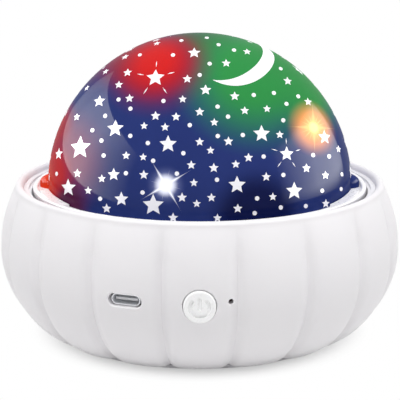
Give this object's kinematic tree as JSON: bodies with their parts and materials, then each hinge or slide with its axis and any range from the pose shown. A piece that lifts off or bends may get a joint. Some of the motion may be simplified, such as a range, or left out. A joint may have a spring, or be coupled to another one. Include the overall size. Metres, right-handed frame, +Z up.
{
  "type": "star night light projector",
  "caption": "Night light with a fluted round base, a motor-turned ring and a lift-off printed dome that projects stars.",
  "frame": {"origin": "on the table plane, under the centre of the round base, where the rubber feet stand", "axes": "+Z up along the turntable's axis, -Y towards the front with the power button, +X to the right"},
  "size_m": [0.1288, 0.1307, 0.0967],
  "materials": {
    "shell_abs": "satin moulded ABS, off-white",
    "base_abs": "moulded ABS, fine texture",
    "foot_rubber": "matt",
    "screw_steel": "zinc plated",
    "tray_abs": "moulded ABS, satin",
    "ring_abs": "moulded ABS, satin",
    "gear_pom": "moulded acetal",
    "washer_nylon": "nylon",
    "shaft_steel": "ground",
    "gearbox_brass": "stamped",
    "motor_steel": "drawn can",
    "dome_film": "glossy printed film, night-sky print with stars and moon",
    "holder_abs": "moulded ABS",
    "light_board": "white solder mask",
    "led_red": "clear tinted epoxy",
    "led_green": "clear tinted epoxy",
    "led_blue": "clear tinted epoxy",
    "led_white": "clear epoxy",
    "board_green": "green solder mask",
    "chip_black": "epoxy moulding compound",
    "socket_nylon": "natural nylon",
    "port_steel": "nickel plated",
    "port_plastic": "moulded",
    "button_abs": "satin moulded ABS",
    "switch_black": "moulded",
    "plunger_nylon": "moulded",
    "indicator": "tinted epoxy",
    "cell_wrap": "shrink sleeve",
    "wire_red": "PVC",
    "wire_black": "PVC",
    "wire_yellow": "PVC",
    "wire_white": "PVC"
  },
  "bodies": {
    "base": {"outer_shell": "shell_abs", "base_plate": "base_abs", "rubber_feet": "foot_rubber", "base_screws": "screw_steel", "deck_tray": "tray_abs", "thrust_washer": "washer_nylon", "motor_gearbox": "gearbox_brass", "motor_can": "motor_steel", "motor_screws": "screw_steel", "led_holder": "holder_abs", "led_board": "light_board", "led_board_screw": "screw_steel", "led_red": "led_red", "led_green": "led_green", "led_blue": "led_blue", "led_white": "led_white", "main_board": "board_green", "board_screws": "screw_steel", "board_chips": "chip_black", "wire_sockets": "socket_nylon", "usb_shell": "port_steel", "usb_tongue": "port_plastic", "tact_switch": "switch_black", "indicator_led": "indicator", "battery_cell": "cell_wrap", "battery_clamp": "base_abs", "clamp_screws": "screw_steel", "battery_lead_red": "wire_red", "battery_lead_black": "wire_black", "motor_leads": "wire_yellow", "led_harness": "wire_white"},
    "turntable": {"turntable": "ring_abs", "drive_gear": "gear_pom", "gear_screws": "screw_steel"},
    "pinion": {"pinion": "gear_pom", "motor_shaft": "shaft_steel"},
    "dome": {"film_dome": "dome_film"},
    "button": {"power_button": "button_abs", "tact_plunger": "plunger_nylon"}
  },
  "joints": [
    {"name": "turntable_spin", "type": "hinge", "parent": "base", "child": "turntable", "pos_m": [0, 0, 0.0432], "axis": [0, 0, 1], "continuous": true},
    {"name": "pinion_spin", "type": "hinge", "parent": "base", "child": "pinion", "pos_m": [0.0312, 0, 0.041], "axis": [0, 0, 1], "continuous": true},
    {"name": "dome_lift", "type": "slide", "parent": "turntable", "child": "dome", "axis": [0, 0, 1], "range_m": [0, 0.03]},
    {"name": "button_press", "type": "slide", "parent": "base", "child": "button", "axis": [0, 1, 0], "range_m": [0, 0.0006], "stiffness_N_per_m": 600}
  ],
  "couplings": [
    {"joint": "pinion_spin", "follows": "turntable_spin", "ratio": -3.3333}
  ]
}
